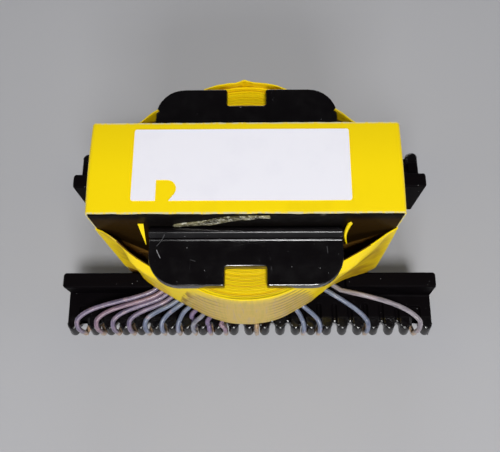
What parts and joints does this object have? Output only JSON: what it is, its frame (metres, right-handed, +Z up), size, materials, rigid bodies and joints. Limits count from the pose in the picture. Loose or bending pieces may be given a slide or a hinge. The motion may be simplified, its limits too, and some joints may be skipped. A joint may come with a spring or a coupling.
{
  "type": "switching transformer",
  "caption": "Board-mounted switching transformer: taped ferrite core on a two-rail pin bobbin with slotted combs and sleeved lead wires.",
  "frame": {"origin": "centre of the pin field at the level of the pin tips", "axes": "+X along the rails and the core, +Y from the rail with sixteen leads to the rail with four, +Z up from the board"},
  "size_m": [0.0594, 0.0328, 0.0401],
  "materials": {
    "bobbin_plastic": "dark moulded phenolic, satin gloss with fine scuffs",
    "ferrite": "sintered ferrite, dark grey and matt",
    "magnet_wire": "enamelled copper winding",
    "yellow_tape": "yellow polyester film tape, soft gloss",
    "margin_tape": "pale fabric margin tape",
    "label_film": "white label film, blank",
    "varnish": "dried amber impregnating varnish",
    "tinned_pin": "tinned steel wire pins",
    "solder": "wire wrap run in with solder",
    "lead_sleeve": "thin translucent sleeve over wire, lilac grey"
  },
  "bodies": {
    "root": {"bobbin": "bobbin_plastic", "core_upper": "ferrite", "core_lower": "ferrite", "winding_inner": "magnet_wire", "winding_middle": "magnet_wire", "winding_outer": "magnet_wire", "interlayer_tape_inner": "yellow_tape", "interlayer_tape_outer": "yellow_tape", "margin_tape_lower": "margin_tape", "margin_tape_upper": "margin_tape", "coil_tape": "yellow_tape", "belt_tape": "yellow_tape", "core_tape": "yellow_tape", "label": "label_film", "varnish_run": "varnish", "pins_front": "tinned_pin", "pins_rear": "tinned_pin", "solder_front": "solder", "solder_rear": "solder", "lead_f00": "lead_sleeve", "lead_f01": "lead_sleeve", "lead_f02": "lead_sleeve", "lead_f03": "lead_sleeve", "lead_f04": "lead_sleeve", "lead_f05": "lead_sleeve", "lead_f06": "lead_sleeve", "lead_f07a": "lead_sleeve", "lead_f07b": "lead_sleeve", "lead_f08": "lead_sleeve", "lead_f09": "lead_sleeve", "lead_f11": "lead_sleeve", "lead_f14": "lead_sleeve", "lead_f15": "lead_sleeve", "lead_f18": "lead_sleeve", "lead_f21": "lead_sleeve", "lead_r06": "lead_sleeve", "lead_r07": "lead_sleeve", "lead_r14": "lead_sleeve", "lead_r15": "lead_sleeve"}
  },
  "joints": []
}
